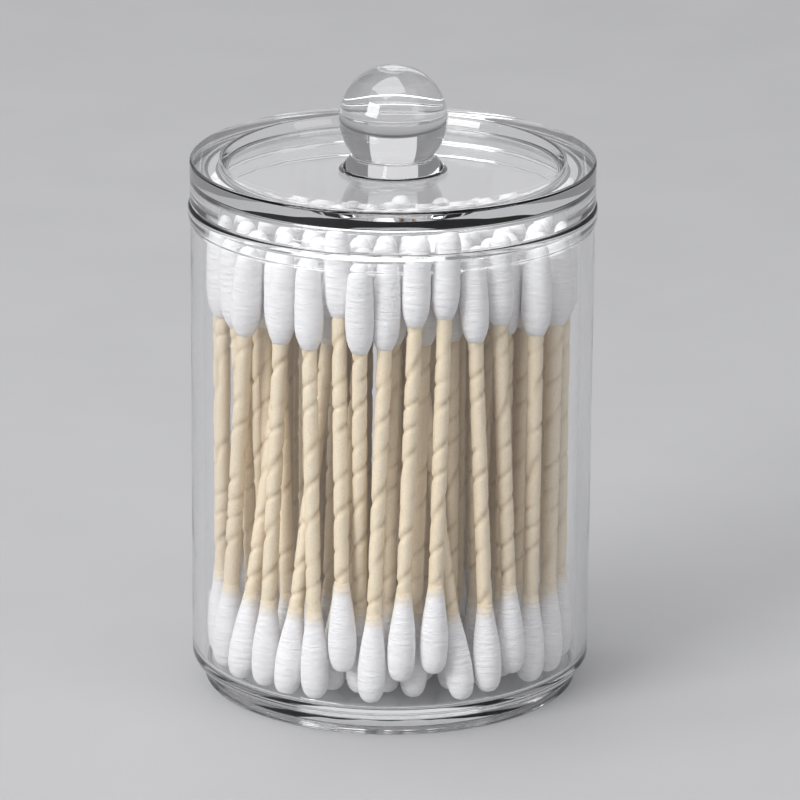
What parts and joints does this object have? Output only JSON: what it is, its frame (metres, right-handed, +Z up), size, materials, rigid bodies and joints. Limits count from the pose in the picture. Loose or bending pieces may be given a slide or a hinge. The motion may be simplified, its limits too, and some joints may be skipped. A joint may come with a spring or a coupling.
{
  "type": "cotton swab jar",
  "caption": "Round clear jar with a lift-off lid, recessed lid panel and ball knob, filled with standing cotton swabs.",
  "frame": {"origin": "centre of the foot ring, on the surface that the jar stands on", "axes": "+Z up along the jar's axis, +X to the right and -Y to the front as seen in the picture"},
  "size_m": [0.0668, 0.0668, 0.104],
  "materials": {
    "clear_plastic": "clear, polished",
    "cotton": "soft wound cotton"
  },
  "bodies": {
    "jar": {"jar": "clear_plastic", "swab_01": "cotton", "swab_02": "cotton", "swab_03": "cotton", "swab_04": "cotton", "swab_05": "cotton", "swab_06": "cotton", "swab_07": "cotton", "swab_08": "cotton", "swab_09": "cotton", "swab_10": "cotton", "swab_11": "cotton", "swab_12": "cotton", "swab_13": "cotton", "swab_14": "cotton", "swab_15": "cotton", "swab_16": "cotton", "swab_17": "cotton", "swab_18": "cotton", "swab_19": "cotton", "swab_20": "cotton", "swab_21": "cotton", "swab_22": "cotton", "swab_23": "cotton", "swab_24": "cotton", "swab_25": "cotton", "swab_26": "cotton", "swab_27": "cotton", "swab_28": "cotton", "swab_29": "cotton", "swab_30": "cotton", "swab_31": "cotton", "swab_32": "cotton", "swab_33": "cotton", "swab_34": "cotton", "swab_35": "cotton", "swab_36": "cotton", "swab_37": "cotton", "swab_38": "cotton", "swab_39": "cotton", "swab_40": "cotton", "swab_41": "cotton", "swabs_core": "cotton"},
    "lid": {"lid": "clear_plastic", "ball_knob": "clear_plastic"}
  },
  "joints": [
    {"name": "lid_lift", "type": "slide", "parent": "jar", "child": "lid", "axis": [0, 0, 1], "range_m": [0, 0.08]}
  ]
}
